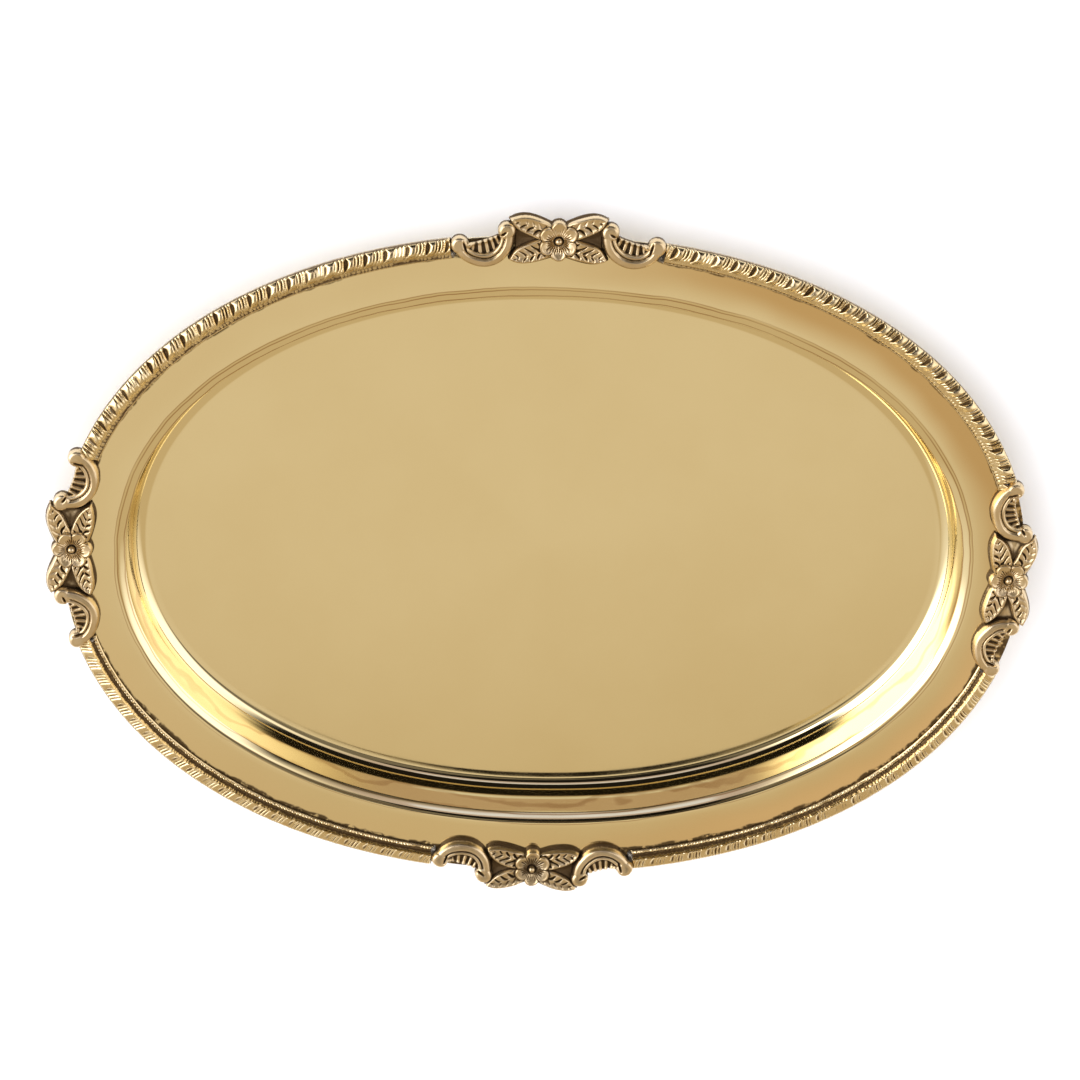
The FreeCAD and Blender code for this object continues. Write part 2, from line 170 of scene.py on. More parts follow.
def grid_faces(rows, columns, close_rows=False, close_columns=False):
    """Quads of a grid whose point number is row * columns + column."""
    row = np.arange(rows if close_rows else rows - 1)
    column = np.arange(columns if close_columns else columns - 1)
    row, column = [part.ravel() for part in np.meshgrid(row, column, indexing="ij")]
    here = row * columns
    below = (row + 1) % rows * columns
    beside = (column + 1) % columns
    return np.stack([here + column, here + beside, below + beside, below + column], axis=1)


def rounded(corners, radii, steps=7):
    """A polyline in a plane with its inner corners rounded."""
    corners = [np.array(corner, float) for corner in corners]
    points = [corners[0]]
    for before, corner, after, radius in zip(corners, corners[1:], corners[2:], radii):
        a = (before - corner) / np.linalg.norm(before - corner)
        b = (after - corner) / np.linalg.norm(after - corner)
        half = math.acos(np.clip(a @ b, -1, 1)) / 2.0
        reach = radius / math.tan(half)
        centre = corner + (a + b) / np.linalg.norm(a + b) * radius / math.sin(half)
        start = corner + a * reach - centre
        turn = math.pi - 2.0 * half
        sense = np.sign(start[0] * (corner - centre)[1] - start[1] * (corner - centre)[0])
        for step in range(steps + 1):
            angle = sense * turn * step / steps
            c, s = math.cos(angle), math.sin(angle)
            points.append(centre + np.array([c * start[0] - s * start[1], s * start[0] + c * start[1]]))
    points.append(corners[-1])
    return np.array(points)


def subdivided(points, longest):
    """The polyline with its long stretches cut into equal steps."""
    out = [points[0]]
    for start, end in zip(points, points[1:]):
        count = max(1, math.ceil(np.linalg.norm(end - start) / longest))
        for step in range(1, count + 1):
            out.append(start + (end - start) * step / count)
    return np.array(out)


# Tray body ----------------------------------------------------------------------------------------

AROUND = 640
FLOOR_RINGS = 26
FLOOR_START = 32.0


def sheet_profiles():
    """(inset, height) down the sheet's upper side, and the same for its under side."""
    step_inset = FLANGE_INSET + STEP_RUN
    step_height = FLANGE_TOP - STEP_DROP
    wall_foot = step_inset + (step_height - SHEET) * math.tan(WALL_DRAFT)
    upper = [
        (EDGE_INSET, FLANGE_TOP),
        (FLANGE_INSET + FLANGE_EASE, FLANGE_TOP),
        (step_inset, step_height + STEP_EASE),
        (wall_foot - BEND_HEIGHT * math.tan(WALL_DRAFT), SHEET + BEND_HEIGHT),
        (wall_foot + FOOT_SPREAD, SHEET),
        (FLOOR_START, SHEET),
    ]
    slope = math.atan2(STEP_DROP, STEP_RUN)
    under = SHEET / (1.0 + math.sin(slope + WALL_DRAFT))
    under_in = under * (math.sin(slope) + math.cos(WALL_DRAFT))
    under_down = under * (math.cos(slope) + math.sin(WALL_DRAFT))
    lower = [
        (EDGE_INSET, FLANGE_TOP - SHEET),
        (FLANGE_INSET - SHEET * math.tan(slope / 2.0), FLANGE_TOP - SHEET),
        (step_inset - under_in, step_height - under_down),
        (wall_foot - SHEET * (1.0 / math.cos(WALL_DRAFT) - math.tan(WALL_DRAFT)), 0.0),
        (FLOOR_START, 0.0),
    ]
    upper_radii = (FLANGE_RADIUS, STEP_RADIUS, WALL_RADIUS, COVE_RADIUS)
    lower_radii = (0.4, SHEET, COVE_RADIUS + SHEET)
    upper = subdivided(rounded(upper, upper_radii, 9), 2.0)
    lower = subdivided(rounded(lower, lower_radii, 6), 4.0)
    return upper.tolist(), lower.tolist()


def sheet_rings():
    """(inset, height, scale) of every ring of the sheet, and how many of them lie on its upper side. They run
    from the middle of the flat, over the rim, to the middle of the under side."""
    upper, lower = sheet_profiles()
    shrink = np.linspace(1.0, 0.0, FLOOR_RINGS + 1)[1:-1]
    rings = [(FLOOR_START, SHEET, scale) for scale in shrink[::-1]]
    rings += [(inset, height, 1.0) for inset, height in upper[::-1] + lower]
    rings += [(FLOOR_START, 0.0, scale) for scale in shrink]
    return rings, len(shrink) + len(upper)


def make_tray_sheet():
    rings, top_rings = sheet_rings()
    x, y, nx, ny = rim_point(np.arange(AROUND) * PERIMETER / AROUND)
    points = []
    insets = []
    for number, (inset, height, scale) in enumerate(rings):
        px = (x - nx * inset) * scale
        py = (y - ny * inset) * scale
        # hand-pressed metal: the surface is slightly uneven, and the wall leans in and out
        wobble = 0.03 * waves(px, py, 85.0, 1) * (height > SHEET / 2.0)
        lean = 0.05 * waves(px, py, 60.0, 2)
        upright = smoothstep(FLANGE_TOP, FLANGE_TOP - 4.0, height) * smoothstep(0.0, 4.0, height - SHEET)
        px = px + nx * lean * upright
        py = py + ny * lean * upright
        points.append(np.stack([px, py, height + wobble], axis=1))
        insets.append(np.full(AROUND, inset if number < top_rings else FLOOR_START))
    middle_top = len(rings) * AROUND
    points = np.concatenate(points + [[[0.0, 0.0, SHEET], [0.0, 0.0, 0.0]]])
    insets = np.concatenate(insets + [[FLOOR_START] * 2])
    quads = grid_faces(len(rings), AROUND, close_columns=True)[:, ::-1]
    column = np.arange(AROUND)
    after = (column + 1) % AROUND
    last = middle_top - AROUND
    top_fan = np.stack([np.full(AROUND, middle_top), column, after], axis=1)
    low_fan = np.stack([np.full(AROUND, middle_top + 1), last + after, last + column], axis=1)
    return make_object("tray_sheet", points, [quads, top_fan, low_fan], {"inset": insets}, math.radians(60))


# Gadroon border -----------------------------------------------------------------------------------

MOTIF = 7.28
BORDER_STEP_ALONG = 0.18
BORDER_STEP_ACROSS = 0.17
BEAD_PITCH = 1.55
BEAD_INSET = 6.25
BED_DEPTH = 0.02
LIP_EASE = 0.25
# Clockwise place in the motif, half width, depth, and the insets where it is deepest and has died away.
# The first is the broad hollow, the others the fine lines beside it.
GROOVES = (
    (0.0, 0.80, 1.75, 1.9, 5.6),
    (3.35, 0.34, 0.75, 1.2, 6.0),
    (4.60, 0.38, 0.90, 1.2, 5.7),
    (5.80, 0.32, 0.70, 1.2, 5.3),
)
# Name, the signs of x and y where it lies, how deeply its motif is worked, how flat its back is worn,
# and tarnish.
BORDERS = (
    ("back_left", -1, 1, 0.9, 0.15, 0.14),
    ("back_right", 1, 1, 0.85, 0.0, 0.04),
    ("front_left", -1, -1, 0.42, 1.0, 0.14),
    ("front_right", 1, -1, 0.55, 0.95, 0.10),
)


def roll_height(inset, worn_flat):
    """The border's section without its motif: an outer slope, a crest, and an inner slope to the foot."""
    outer = 1.15 + 2.05 * np.sqrt(np.clip(1.0 - ((3.5 - inset) / 3.55) ** 2, 0.0, 1.0))
    gentle = 3.2 - 0.62 * np.clip(inset - 3.5, 0.0, None) ** 1.1
    steep = 0.85 + 2.35 * np.sqrt(np.clip(1.0 - ((inset - 3.5) / 2.45) ** 2, 0.0, 1.0))
    inner = gentle + (np.where(inset < 5.95, steep, 0.0) - gentle) * worn_flat
    full = np.where(inset < 3.5, outer, inner)
    flat = 1.55 + 0.37 * inset - 0.5 * smoothstep(0.6, -0.2, inset) - 2.7 * np.clip(inset - 4.3, 0.0, None)
    return full + (np.clip(flat, 0.0, 3.1) - full) * worn_flat


def border_height(s, inset, depth_scale, worn_flat, seed):
    """Height of the casting above the flange."""
    roll = roll_height(inset, worn_flat)
    lean = 0.065 * inset**2
    place = np.mod(-(s - lean) + 0.35 * waves(s, 0.0 * s, 30.0, seed), MOTIF)
    worn = 0.92 + 0.33 * waves(s, 0.0 * s, 11.0, seed + 1)
    hollow = np.zeros_like(s)
    for at, width, depth, deepest, end in GROOVES:
        away = (place - at + MOTIF / 2.0) % MOTIF - MOTIF / 2.0
        along = smoothstep(-0.6, deepest, inset) * (1.0 - smoothstep(deepest + 1.4, end, inset))
        if at == 0.0:
            depth = depth * (1.0 - 0.5 * worn_flat)
            width = width * (0.35 + 0.65 * smoothstep(0.1, 1.6, inset) * (1.0 - smoothstep(2.2, 5.4, inset)))
        hollow = np.maximum(hollow, depth * depth_scale * worn * along * bump_at(away, width))
    on_slope = 1.0 - smoothstep(3.5, 5.2, inset)
    lobe = 0.28 * depth_scale * np.cos((place - 1.8) / MOTIF * 2.0 * math.pi) * on_slope
    roll = roll - hollow + lobe * smoothstep(-0.5, 1.5, inset)
    along_bead = (s + 0.3 * np.sin(s * 0.9) + BEAD_PITCH / 2.0) % BEAD_PITCH - BEAD_PITCH / 2.0
    bead = np.sqrt(np.clip(1.0 - (along_bead / 0.8) ** 2 - ((inset - BEAD_INSET) / 0.62) ** 2, 0.0, 1.0))
    clear = np.clip(worn + 0.5 * waves(s, 0.0 * s, 6.0, seed + 2), 0.0, 1.2)
    beading = (0.24 + 0.16 * worn_flat) * bead * clear
    fillet = 1.05 * np.sqrt(np.clip(1.0 - ((inset - 7.0) / 0.33) ** 2, 0.0, 1.0))
    pitted = (0.03 + 0.09 * worn_flat) * bump_at(inset - 5.0, 0.7) * waves(s, inset, 1.1, seed + 5)
    wear = 0.012 * waves(s, inset, 2.6, seed + 3) + 0.04 * waves(s, inset, 9.0, seed + 4) + pitted
    return np.maximum(np.maximum(roll, 0.72) + beading, fillet) + wear


def blurred(values, cells):
    """A box blur of a grid, run twice, that keeps its size."""
    for _ in range(2):
        for axis in (0, 1):
            pad = [(0, 0), (0, 0)]
            pad[axis] = (cells, cells)
            total = np.cumsum(np.pad(values, pad, mode="edge"), axis=axis)
            total = np.concatenate([np.zeros_like(np.take(total, [0], axis)), total], axis)
            width = 2 * cells + 1
            length = values.shape[axis]
            upper = np.take(total, np.arange(width, width + length), axis)
            lower = np.take(total, np.arange(0, length), axis)
            values = (upper - lower) / width
    return values


def make_border(name, x_side, y_side, depth_scale, worn_flat, tarnish, seed):
    low, high = box_mm("border_" + name)
    nearest = np.minimum(np.abs(low), np.abs(high))
    at_side = rim_s(x_side, y_side, x=nearest[0])
    at_end = rim_s(x_side, y_side, y=nearest[1])
    start, finish = sorted((at_side, at_end))
    if finish - start > PERIMETER / 2.0:
        start, finish = finish - PERIMETER, start
    along = np.linspace(start, finish, round((finish - start) / BORDER_STEP_ALONG) + 1)
    across = np.linspace(0.0, BORDER_WIDTH, round(BORDER_WIDTH / BORDER_STEP_ACROSS) + 1)
    s, inset = np.meshgrid(along, across, indexing="ij")
    height = border_height(s, inset, depth_scale, worn_flat, seed)
    height = height * (0.35 + 0.65 * smoothstep(0.0, 0.7, np.minimum(s - start, finish - s)))
    hollow = np.clip((blurred(height, 5) - height) / 0.32, -1.0, 1.0)
    speckle = 0.65 + 0.5 * waves(s, inset, 1.3, seed + 6)
    low_zone = (0.1 + 0.65 * worn_flat) * bump_at(inset - 4.95, 0.8) * speckle
    patina = np.clip(tarnish + low_zone + 0.9 * hollow, 0.0, 1.0)

    # inset, height and patina of the section's other points: the inner edge, the bed on the flange, the lip
    closing = (
        (BORDER_WIDTH, -BED_DEPTH, 1.0),
        (EDGE_INSET, -BED_DEPTH, 1.0),
        (EDGE_INSET - 0.1, -BORDER_LIP, 0.8),
        (LIP_EASE, -BORDER_LIP, 0.4),
        (0.0, LIP_EASE - BORDER_LIP, 0.2),
    )
    s_all = np.repeat(along[:, None], len(across) + len(closing), axis=1)
    inset_all, height_all, patina_all = [
        np.hstack([first] + [np.full((len(along), 1), value) for value in rest])
        for first, rest in zip((inset, height, patina), zip(*closing))
    ]
    x, y, nx, ny = rim_point(s_all)
    z = FLANGE_TOP + height_all
    points = np.stack([x - nx * inset_all, y - ny * inset_all, z], axis=2).reshape(-1, 3)
    width = inset_all.shape[1]
    quads = grid_faces(len(along), width, close_columns=True)
    ends = [np.arange(width)[None, ::-1], (len(along) - 1) * width + np.arange(width)[None, :]]
    return make_object("gadroon_" + name, points, [quads] + ends, {"patina": patina_all}, math.radians(55))


# Ornaments ----------------------------------------------------------------------------------------

ORNAMENT_CELL = 0.17
SCROLL = (26.5, 1.5)
SCROLL_RADIUS = 11.3
SCROLL_BAND = 5.2
SCROLL_ENDS = (math.radians(202.5), math.radians(372.5))
VOLUTE_RADIUS = 3.3
WEB_HOLLOW = (35.7, 32.4, 34.0)
PETAL_REACH = 4.2
PETAL_RADIUS = 3.05
EYE_RADIUS = 2.4
BEAD_BALL = 1.25
# root, tip, and widths outward and inward of the midrib for the outer and the inner leaf
LEAVES = (((3.6, 3.0), (17.1, 7.7), 3.3, 4.0), ((3.4, -3.0), (17.2, -6.7), 4.6, 3.0))
# how deep the cuts are outward and inward of the midrib
LEAF_CUTS = {"outer_leaf": (0.3, 1.05), "inner_leaf": (0.9, 1.0)}
LEAF_VEIN = 2.75
# middle and radius of the small ball beside the web
KNOB = (31.0, -1.7, 1.45)
ORNAMENT_V = (-9.8, 9.55)
# the patch in which the casting is worked out, a little larger than the casting, and how far it sinks in
FIELD_U = (-38.4, 38.4)
FIELD_V = (-10.8, 10.6)
ORNAMENT_SINK = 0.03


def disc(u, v, centre_u, centre_v, radius):
    return np.hypot(u - centre_u, v - centre_v) - radius


def leaf_place(u, v, root, tip):
    """Along the leaf from 0 at its root to 1 at its tip, the distance from its midrib, and its length."""
    du, dv = tip[0] - root[0], tip[1] - root[1]
    length = math.hypot(du, dv)
    du, dv = du / length, dv / length
    along = ((u - root[0]) * du + (v - root[1]) * dv) / length
    side = -(u - root[0]) * dv + (v - root[1]) * du
    side = side + 0.9 * np.sin(np.clip(along, 0, 1) * math.pi) * (-1.0 if tip[1] > 0 else 0.6) * 0.5
    return along, side, length


def leaf_edge(along, side, outward, inward):
    reach = np.clip(along, 0.0, 1.0)
    width = np.where(side > 0, outward, inward) * np.clip(1.0 - reach**4.4, 0.0, None) ** 0.9
    outside = np.abs(side) - width
    return np.maximum(outside * 0.85, np.maximum((along - 1.0) * 14.0, -along * 14.0 - 2.0))


def scroll_polar(u, v):
    radius = np.hypot(u - SCROLL[0], v - SCROLL[1])
    angle = np.mod(np.arctan2(v - SCROLL[1], SCROLL[0] - u), 2.0 * math.pi)
    angle = np.where(angle < math.pi / 2.0, angle + 2.0 * math.pi, angle)
    return radius, angle


def volute_centre(angle):
    reach = SCROLL_RADIUS - SCROLL_BAND / 2.0
    return SCROLL[0] - reach * math.cos(angle), SCROLL[1] + reach * math.sin(angle)


SMALL_VOLUTE = volute_centre(SCROLL_ENDS[0])
BIG_VOLUTE = volute_centre(SCROLL_ENDS[1])


def ornament_edges(u, v):
    """Signed distances to each element of one half, u being folded so that it is never negative."""
    radius, angle = scroll_polar(u, v)
    band = np.abs(radius - (SCROLL_RADIUS - SCROLL_BAND / 2.0)) - SCROLL_BAND / 2.0
    off_end = np.maximum(SCROLL_ENDS[0] - angle, angle - SCROLL_ENDS[1]) * radius
    band = np.maximum(band, off_end)
    web = np.maximum(WEB_HOLLOW[2] - np.hypot(u - WEB_HOLLOW[0], v - WEB_HOLLOW[1]), radius - 8.0)
    volutes = [disc(u, v, *centre, VOLUTE_RADIUS) for centre in (SMALL_VOLUTE, BIG_VOLUTE)]
    leaves = [leaf_edge(*leaf_place(u, v, root, tip)[:2], *widths) for root, tip, *widths in LEAVES]
    petals = disc(u, v, 0.0, 0.0, 5.0)
    for turn in range(6):
        angle = math.radians(90 + 60 * turn)
        centre = (PETAL_REACH * math.cos(angle), PETAL_REACH * math.sin(angle))
        petals = np.minimum(petals, disc(u, v, *centre, PETAL_RADIUS))
    between = np.maximum(np.abs(u) - 15.3, np.maximum(-6.2 - v, v - 5.8))
    ground = np.minimum(np.minimum(leaves[0], leaves[1]), petals) - 0.35
    return {
        "band": band,
        "web": web,
        "small": volutes[0],
        "big": volutes[1],
        "outer_leaf": leaves[0],
        "inner_leaf": leaves[1],
        "petals": petals,
        "ground": np.minimum(ground, between),
    }


def ornament_outline(u, v):
    edges = ornament_edges(np.abs(u), v)
    return np.minimum.reduce(list(edges.values()))


def rise(edge, width):
    """From 0 at an element's edge to 1 at this depth inside it, rounded like a worn arris."""
    t = np.clip(-edge / width, 0.0, 1.0)
    return np.sqrt(t * (2.0 - t))


def petal_height(u, v, edge):
    """Six petals in one dished round, parted by narrow valleys, about an eye with a ball in it."""
    middle = np.hypot(u, v)
    turn = np.degrees(np.arctan2(v, u)) / 60.0
    valley = bump_at((turn - np.round(turn)) * middle, 0.022 * middle + 0.03)
    height = 3.55 + 0.75 * smoothstep(2.6, 6.4, middle) + 0.25 * bump_at(edge + 0.6, 0.5)
    height = height - 0.7 * valley * smoothstep(3.2, 5.6, middle)
    line = turn * 5.0
    cut = bump_at((line - np.round(line)) * np.radians(12.0) * middle, 0.17)
    line_end = 4.9 + 0.5 * np.cos(np.round(line) * 2.1) + 0.3 * np.sin(np.round(line) * 1.3)
    crisp = 0.4 + 0.6 * smoothstep(3.0, 1.0, v)
    height = height - 0.75 * cut * smoothstep(line_end, line_end - 1.2, middle) * crisp
    height = height * (0.55 + 0.45 * rise(edge, 0.9))
    hollow = 2.2 + 1.5 * smoothstep(1.3, EYE_RADIUS, middle)
    height = np.where(middle < EYE_RADIUS, np.minimum(height, hollow), height)
    ball = 3.5 + np.sqrt(np.clip(BEAD_BALL**2 - middle**2, 0.0, None)) * 1.1
    return np.where(middle < BEAD_BALL, np.maximum(height, ball), height)


def leaf_height(u, v, edge, root, tip, upper_cut, lower_cut):
    """A leaf with a plain raised rim and wedge-shaped cuts of these depths on the two sides of its midrib."""
    along, side, length = leaf_place(u, v, root, tip)
    phase = (along * length - 0.9 * np.abs(side) + 0.3 * np.sin(side * 1.7)) / LEAF_VEIN
    away = np.abs(phase - np.round(phase)) * LEAF_VEIN
    cut = bump_at(away, 0.22 + 0.34 * smoothstep(3.2, 0.4, np.abs(side)) * smoothstep(1.0, 0.2, along))
    inside = smoothstep(-0.75, -1.35, edge) * smoothstep(0.05, 0.4, np.abs(side))
    depth = np.where(side > 0, upper_cut, lower_cut) * (0.45 + 0.55 * smoothstep(1.0, 0.3, along))
    height = 3.45 + 0.3 * bump_at(side, 2.0) - 1.25 * cut * depth * inside
    height = height - 0.8 * smoothstep(0.3, 0.0, along)
    height = height + 0.5 * bump_at(edge + 0.85, 0.7)
    return np.where(edge < 0, height * (0.45 + 0.55 * rise(edge, 0.8)), 0.0)


def pit(u, v, centre_u, centre_v, long_reach, short_reach, turn):
    """An oval hollow, from 0 outside it to 1 at its middle."""
    c, s = math.cos(turn), math.sin(turn)
    along = (u - centre_u) * c + (v - centre_v) * s
    across = -(u - centre_u) * s + (v - centre_v) * c
    return np.exp(-(((along / long_reach) ** 2 + (across / short_reach) ** 2) ** 1.5))


def scroll_height(u, v, edges):
    radius, _ = scroll_polar(u, v)
    top = 4.75 - 0.16 * np.clip(radius - 8.8, 0.0, None) - 0.7 * smoothstep(8.7, 7.95, radius)
    roll = top * (0.5 + 0.5 * rise(radius - SCROLL_RADIUS, 1.5))
    ridge = 2.6 + 1.6 * np.sqrt(np.clip(1.0 - ((radius - 7.1) / 0.85) ** 2, 0.0, 1.0))
    band = np.where(edges["band"] < 0, np.where(radius > 7.9, np.maximum(roll, ridge), ridge), 0.0)
    fan = np.degrees(np.arctan2(u - SCROLL[0] - 1.0, 12.0 - v)) / 8.8
    rib = np.sqrt(np.clip(1.0 - ((fan - np.round(fan)) / 0.36) ** 2, 0.0, 1.0))
    outer_half = smoothstep(-4.4, -3.4, edges["web"])
    web = 1.5 + 1.35 * rib * outer_half + 0.5 * smoothstep(-1.5, 0.0, edges["web"]) + 0.4 * (1.0 - outer_half)
    web = np.where(edges["web"] < 0, web, 0.0)
    height = np.maximum(band, web)
    knob_edge = disc(u, v, *KNOB)
    knob = 3.9 * (0.35 + 0.65 * rise(knob_edge, 1.2)) * (knob_edge < 0)
    height = np.maximum(height, knob)
    for name in ("small", "big"):
        edge = edges[name]
        dome = 4.7 * (0.5 + 0.5 * rise(edge, 1.6))
        height = np.where(edge < 0, np.maximum(height, dome), height)
    slot = pit(u, v, SMALL_VOLUTE[0] - 1.9, SMALL_VOLUTE[1] - 0.3, 1.7, 0.4, math.radians(70))
    slot = np.maximum(slot, pit(u, v, BIG_VOLUTE[0] + 1.2, BIG_VOLUTE[1] - 0.9, 1.3, 0.4, math.radians(-35)))
    return height - 1.5 * slot


def ornament_height(u, v, seed):
    """Height of the casting above the flange."""
    warp_u = u + 0.2 * waves(u, v, 13.0, seed + 1)
    warp_v = v + 0.2 * waves(u, v, 13.0, seed + 2)
    u, v = np.abs(warp_u), warp_v
    edges = ornament_edges(u, v)
    height = 1.35 + 0.5 * smoothstep(1.6, 0.0, np.minimum(edges["outer_leaf"], edges["inner_leaf"]))
    height = np.maximum(height, scroll_height(u, v, edges))
    for (root, tip, _, _), (name, cuts) in zip(LEAVES, LEAF_CUTS.items()):
        height = np.maximum(height, leaf_height(u, v, edges[name], root, tip, *cuts))
    height = np.where(edges["petals"] < 0, petal_height(u, v, edges["petals"]), height)
    return height + 0.008 * waves(u, v, 2.4, seed + 3) + 0.05 * waves(u, v, 7.0, seed + 4)


def grid_cells(inside):
    """Quads of the grid's cells with all four corners inside, and the longest loop of points round them."""
    columns = inside.shape[1]
    row, column = np.nonzero(inside[:-1, :-1] & inside[1:, :-1] & inside[1:, 1:] & inside[:-1, 1:])
    corner = row * columns + column
    quads = np.stack([corner, corner + columns, corner + columns + 1, corner + 1], 1)
    edges = np.concatenate([np.stack([quads[:, k], quads[:, (k + 1) % 4]], 1) for k in range(4)])
    key = edges[:, 0].astype(np.int64) * inside.size + edges[:, 1]
    back = edges[:, 1].astype(np.int64) * inside.size + edges[:, 0]
    follow = dict(edges[~np.isin(key, back)].tolist())
    loops = []
    while follow:
        first = next(iter(follow))
        loop = [first]
        after = follow.pop(first)
        while after != first:
            loop.append(after)
            after = follow.pop(after)
        loops.append(loop)
    return quads, np.array(max(loops, key=len))


def heightfield(outline, us, vs):
    """Points of a grid inside an outline, the quads between them, and the loop of border points, in order.
    The border points are moved onto the outline."""
    u, v = np.meshgrid(us, vs, indexing="ij")
    quads, loop = grid_cells(outline(u, v) < 0.45 * (us[1] - us[0]))
    used = np.unique(quads)
    renumber = np.full(u.size, -1)
    renumber[used] = np.arange(len(used))
    u, v = u.ravel()[used], v.ravel()[used]
    loop = renumber[loop]
    probe = 0.01
    for _ in range(3):
        lu, lv = u[loop], v[loop]
        here = outline(lu, lv)
        du = (outline(lu + probe, lv) - outline(lu - probe, lv)) / (2 * probe)
        dv = (outline(lu, lv + probe) - outline(lu, lv - probe)) / (2 * probe)
        size = np.maximum(du**2 + dv**2, 0.2)
        step = np.clip(here / size, -0.2, 0.2)
        u[loop] -= du * step
        v[loop] -= dv * step
    return u, v, renumber[quads], loop


# the way each ornament faces, in degrees, how far it has tarnished, and how dark its ground is
ORNAMENT_SEATS = {
    "back": (0.6, 0.12, 0.75),
    "front": (178.3, 0.46, 0.4),
    "left": (89.5, 0.12, 0.5),
    "right": (-92.7, 0.08, 0.15),
}


def make_ornament(place, seed):
    low, high = box_mm("ornament_" + place)
    facing, tarnish, ground = ORNAMENT_SEATS[place]
    us = np.arange(*FIELD_U, ORNAMENT_CELL)
    vs = np.arange(*FIELD_V, ORNAMENT_CELL)
    u, v, quads, loop = heightfield(ornament_outline, us, vs)
    height = ornament_height(u, v, seed)
    edge = -ornament_outline(u, v)
    height = height * (0.72 + 0.28 * smoothstep(0.0, 0.45, edge))

    # patina gathers where the casting lies low beside its surroundings
    grid_u, grid_v = np.meshgrid(us, vs, indexing="ij")
    around = ornament_height(grid_u, grid_v, seed) * (ornament_outline(grid_u, grid_v) < 0.2)
    soft = blurred(around, 5)
    column = np.clip(np.round((u - us[0]) / ORNAMENT_CELL).astype(int), 0, len(us) - 1)
    row = np.clip(np.round((v - vs[0]) / ORNAMENT_CELL).astype(int), 0, len(vs) - 1)
    hollow = np.clip((soft[column, row] - height) / 0.8, -1.0, 1.0)
    low_ground = smoothstep(3.0, 1.5, height) * ground * (0.55 + 0.45 * smoothstep(15.0, 8.0, np.abs(u)))
    patina = np.clip(0.05 + tarnish + 0.85 * hollow + low_ground, 0.0, 1.0)

    count = len(u)
    foot = np.arange(count, count + len(loop))
    after = np.roll(np.arange(len(loop)), -1)
    walls = np.stack([loop, foot, foot[after], loop[after]], 1)
    angle = math.radians(facing)
    c, s = math.cos(angle), math.sin(angle)
    middle = (low + high) / 2.0
    middle_v = sum(ORNAMENT_V) / 2.0
    origin_x = middle[0] + s * middle_v
    origin_y = middle[1] - c * middle_v
    all_u = np.concatenate([u, u[loop]])
    all_v = np.concatenate([v, v[loop]])
    all_z = np.concatenate([height, np.full(len(loop), -ORNAMENT_SINK)])
    x = origin_x + c * all_u - s * all_v
    y = origin_y + s * all_u + c * all_v
    points = np.stack([x, y, low[2] + all_z], 1)
    patina = np.concatenate([patina, np.ones(len(loop))])
    faces = [quads, walls, foot[None, ::-1]]
    return make_object("casting_" + place, points, faces, {"patina": patina}, math.radians(55))


# Solder -------------------------------------------------------------------------------------------


SOLDER_AROUND = 40
SOLDER_UP = 14
SOLDER_RISE = 1.8


def solder_seats():
    """The points of each solid of solder in the CAD model, in millimetres, the solids in a fixed order."""
    bm = bmesh.new()
    bm.from_mesh(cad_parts["solder_joints"].data)
    bmesh.ops.remove_doubles(bm, verts=bm.verts, dist=1e-6)
    seats = []
    left = set(bm.verts)
    while left:
        stack = [left.pop()]
        seat = list(stack)
        while stack:
            near = {vert for edge in stack.pop().link_edges for vert in edge.verts} & left
            left -= near
            stack.extend(near)
            seat.extend(near)
        seats.append(np.array([vert.co for vert in seat]) / MM)
    bm.free()
    seats.sort(key=lambda seat: (round(seat[:, 0].mean()), round(seat[:, 1].mean())))
    return seats


def solder_lump(number, seat):
    """Points and patina of one lump, a dome that fills the length and width of its seat."""
    middle = (seat.min(0) + seat.max(0)) / 2.0
    across = np.array([middle[0] / HALF_LENGTH**2, middle[1] / HALF_WIDTH**2])
    across = across / np.linalg.norm(across)
    tangent = np.array([-across[1], across[0]])
    flat = (seat - middle)[:, :2]
    half_along = np.abs(flat @ tangent).max() * 0.95
    half_across = np.abs(flat @ across).max() * 0.98
    around, up = np.meshgrid(np.arange(SOLDER_AROUND), np.arange(SOLDER_UP + 1), indexing="ij")
    theta = around * 2.0 * math.pi / SOLDER_AROUND
    phi = up / SOLDER_UP * math.pi / 2.0
    reach = np.sin(phi) ** 0.8 * (1.0 + 0.14 * waves(theta * 3.0 + number * 9.0, phi * 3.0, 2.4, 60 + number))
    ripple = 1.0 + 0.18 * waves(theta * 2.0, phi * 4.0 + number, 1.9, 80 + number)
    along = reach * np.cos(theta) * half_along
    aside = reach * np.sin(theta) * half_across
    x = middle[0] + tangent[0] * along + across[0] * aside
    y = middle[1] + tangent[1] * along + across[1] * aside
    z = FLANGE_TOP - BED_DEPTH + SOLDER_RISE * np.cos(phi) * ripple
    patina = np.clip(0.5 + 0.3 * waves(x, y, 2.0, 90), 0.0, 1.0)
    return np.stack([x, y, z], 2).reshape(-1, 3), patina.reshape(-1)


def make_solder():
    """Lumpy fillets in the joints, where the CAD solids of the solder lie."""
    points, faces, patina = [], [], []
    for number, seat in enumerate(solder_seats()):
        lump, shade = solder_lump(number, seat)
        base = number * len(lump)
        floor = base + np.arange(SOLDER_AROUND)[::-1] * (SOLDER_UP + 1) + SOLDER_UP
        faces.append(grid_faces(SOLDER_AROUND, SOLDER_UP + 1, close_rows=True) + base)
        faces.append(floor[None, :])
        points.append(lump)
        patina.append(shade)
    thing = make_object("solder_lumps", np.concatenate(points), faces, {"patina": np.concatenate(patina)})
    merged = bmesh.new()
    merged.from_mesh(thing.data)
    bmesh.ops.remove_doubles(merged, verts=merged.verts, dist=1e-7)
    merged.to_mesh(thing.data)
    merged.free()
    return thing


# Materials ----------------------------------------------------------------------------------------


